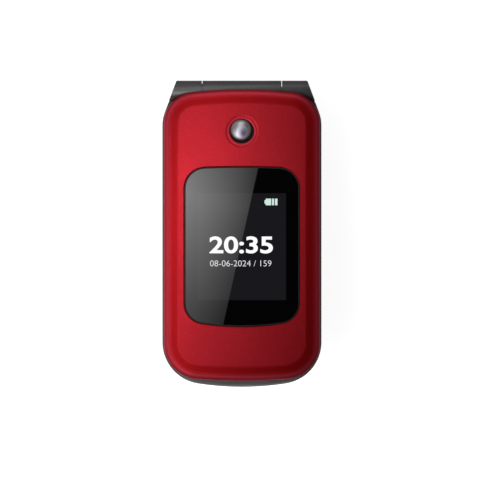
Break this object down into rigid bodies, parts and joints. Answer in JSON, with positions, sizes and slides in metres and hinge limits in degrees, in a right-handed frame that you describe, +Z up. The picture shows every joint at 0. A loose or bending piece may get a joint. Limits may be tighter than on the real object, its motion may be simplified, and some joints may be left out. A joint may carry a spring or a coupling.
{
  "type": "flip phone",
  "caption": "Closed clamshell phone with a red lid, an outer screen window, a lid camera, a dark base and a barrel hinge; it opens on a keypad and main screen.",
  "frame": {"origin": "middle of the rear face, on the plane that the closed phone lies on", "axes": "+X to the phone's right, +Y along it towards the hinge, +Z up through the thickness to the lid"},
  "size_m": [0.053, 0.102, 0.019],
  "materials": {
    "red_lacquer": "satin lacquer over moulded plastic",
    "grey_plastic": "fine matt moulded plastic",
    "black_plastic": "soft matt black",
    "key_plastic": "satin black with printed legends",
    "metal_key": "silver paint",
    "clear_window": "gloss, dark printed border",
    "display": "dark gloss display",
    "lens_glass": "coated glass",
    "camera_trim": "turned satin metal",
    "circuit_board": "green solder mask",
    "tinned_steel": "bright tinned sheet",
    "plated_contact": "gold plated",
    "foil_pack": "wrapped pack",
    "dark_steel": "blackened",
    "flex_circuit": "amber film",
    "rubber_pad": "soft black"
  },
  "bodies": {
    "base": {"rear_housing": "grey_plastic", "front_housing": "grey_plastic", "main_board": "circuit_board", "shield_cans": "tinned_steel", "snap_domes": "tinned_steel", "battery": "foil_pack", "battery_contacts": "plated_contact", "sim_holders": "tinned_steel", "loudspeaker": "black_plastic", "vibration_motor": "tinned_steel", "microphone": "tinned_steel", "usb_socket": "tinned_steel", "headphone_jack": "black_plastic", "housing_screws": "dark_steel", "hinge_shaft": "tinned_steel", "hinge_bush": "black_plastic", "base_flex": "flex_circuit"},
    "lid": {"lid_outer_cover": "red_lacquer", "outer_window": "clear_window", "outer_display": "display", "camera_ring": "camera_trim", "camera_lens": "lens_glass", "camera_module": "black_plastic", "lid_inner_cover": "grey_plastic", "inner_window": "clear_window", "main_display": "display", "earpiece": "black_plastic", "earpiece_mesh": "camera_trim", "lid_board": "circuit_board", "lid_magnet": "tinned_steel", "lid_bumpers": "rubber_pad", "lid_screws": "dark_steel", "hinge_cartridge": "tinned_steel", "hinge_spring": "tinned_steel", "hinge_cam": "dark_steel", "lid_flex": "flex_circuit"},
    "battery_cover": {"battery_cover": "grey_plastic"},
    "key_1": {"key_1": "key_plastic"},
    "key_2": {"key_2": "key_plastic"},
    "key_3": {"key_3": "key_plastic"},
    "key_4": {"key_4": "key_plastic"},
    "key_5": {"key_5": "key_plastic"},
    "key_6": {"key_6": "key_plastic"},
    "key_7": {"key_7": "key_plastic"},
    "key_8": {"key_8": "key_plastic"},
    "key_9": {"key_9": "key_plastic"},
    "key_star": {"key_star": "key_plastic"},
    "key_0": {"key_0": "key_plastic"},
    "key_hash": {"key_hash": "key_plastic"},
    "call_key": {"call_key": "key_plastic"},
    "end_key": {"end_key": "key_plastic"},
    "soft_left_key": {"soft_left_key": "key_plastic"},
    "soft_right_key": {"soft_right_key": "key_plastic"},
    "nav_up_key": {"nav_up_key": "key_plastic"},
    "nav_down_key": {"nav_down_key": "key_plastic"},
    "nav_left_key": {"nav_left_key": "key_plastic"},
    "nav_right_key": {"nav_right_key": "key_plastic"},
    "ok_key": {"ok_key": "metal_key"}
  },
  "joints": [
    {"name": "lid_hinge", "type": "hinge", "parent": "base", "child": "lid", "pos_m": [0, 0.0476, 0.013], "axis": [-1, 0, 0], "range_deg": [0, 160]},
    {"name": "battery_cover_slide", "type": "slide", "parent": "base", "child": "battery_cover", "axis": [0, -1, 0], "range_m": [0, 0.012]},
    {"name": "key_1_press", "type": "slide", "parent": "base", "child": "key_1", "axis": [0, 0, -1], "range_m": [0, 0.0003], "stiffness_N_per_m": 600, "springref_m": -0.0007},
    {"name": "key_2_press", "type": "slide", "parent": "base", "child": "key_2", "axis": [0, 0, -1], "range_m": [0, 0.0003], "stiffness_N_per_m": 600, "springref_m": -0.0007},
    {"name": "key_3_press", "type": "slide", "parent": "base", "child": "key_3", "axis": [0, 0, -1], "range_m": [0, 0.0003], "stiffness_N_per_m": 600, "springref_m": -0.0007},
    {"name": "key_4_press", "type": "slide", "parent": "base", "child": "key_4", "axis": [0, 0, -1], "range_m": [0, 0.0003], "stiffness_N_per_m": 600, "springref_m": -0.0007},
    {"name": "key_5_press", "type": "slide", "parent": "base", "child": "key_5", "axis": [0, 0, -1], "range_m": [0, 0.0003], "stiffness_N_per_m": 600, "springref_m": -0.0007},
    {"name": "key_6_press", "type": "slide", "parent": "base", "child": "key_6", "axis": [0, 0, -1], "range_m": [0, 0.0003], "stiffness_N_per_m": 600, "springref_m": -0.0007},
    {"name": "key_7_press", "type": "slide", "parent": "base", "child": "key_7", "axis": [0, 0, -1], "range_m": [0, 0.0003], "stiffness_N_per_m": 600, "springref_m": -0.0007},
    {"name": "key_8_press", "type": "slide", "parent": "base", "child": "key_8", "axis": [0, 0, -1], "range_m": [0, 0.0003], "stiffness_N_per_m": 600, "springref_m": -0.0007},
    {"name": "key_9_press", "type": "slide", "parent": "base", "child": "key_9", "axis": [0, 0, -1], "range_m": [0, 0.0003], "stiffness_N_per_m": 600, "springref_m": -0.0007},
    {"name": "key_star_press", "type": "slide", "parent": "base", "child": "key_star", "axis": [0, 0, -1], "range_m": [0, 0.0003], "stiffness_N_per_m": 600, "springref_m": -0.0007},
    {"name": "key_0_press", "type": "slide", "parent": "base", "child": "key_0", "axis": [0, 0, -1], "range_m": [0, 0.0003], "stiffness_N_per_m": 600, "springref_m": -0.0007},
    {"name": "key_hash_press", "type": "slide", "parent": "base", "child": "key_hash", "axis": [0, 0, -1], "range_m": [0, 0.0003], "stiffness_N_per_m": 600, "springref_m": -0.0007},
    {"name": "call_key_press", "type": "slide", "parent": "base", "child": "call_key", "axis": [0, 0, -1], "range_m": [0, 0.0003], "stiffness_N_per_m": 600, "springref_m": -0.0007},
    {"name": "end_key_press", "type": "slide", "parent": "base", "child": "end_key", "axis": [0, 0, -1], "range_m": [0, 0.0003], "stiffness_N_per_m": 600, "springref_m": -0.0007},
    {"name": "soft_left_key_press", "type": "slide", "parent": "base", "child": "soft_left_key", "axis": [0, 0, -1], "range_m": [0, 0.0003], "stiffness_N_per_m": 600, "springref_m": -0.0007},
    {"name": "soft_right_key_press", "type": "slide", "parent": "base", "child": "soft_right_key", "axis": [0, 0, -1], "range_m": [0, 0.0003], "stiffness_N_per_m": 600, "springref_m": -0.0007},
    {"name": "nav_up_key_press", "type": "slide", "parent": "base", "child": "nav_up_key", "axis": [0, 0, -1], "range_m": [0, 0.0003], "stiffness_N_per_m": 600, "springref_m": -0.0007},
    {"name": "nav_down_key_press", "type": "slide", "parent": "base", "child": "nav_down_key", "axis": [0, 0, -1], "range_m": [0, 0.0003], "stiffness_N_per_m": 600, "springref_m": -0.0007},
    {"name": "nav_left_key_press", "type": "slide", "parent": "base", "child": "nav_left_key", "axis": [0, 0, -1], "range_m": [0, 0.0003], "stiffness_N_per_m": 600, "springref_m": -0.0007},
    {"name": "nav_right_key_press", "type": "slide", "parent": "base", "child": "nav_right_key", "axis": [0, 0, -1], "range_m": [0, 0.0003], "stiffness_N_per_m": 600, "springref_m": -0.0007},
    {"name": "ok_key_press", "type": "slide", "parent": "base", "child": "ok_key", "axis": [0, 0, -1], "range_m": [0, 0.0003], "stiffness_N_per_m": 600, "springref_m": -0.0007}
  ]
}
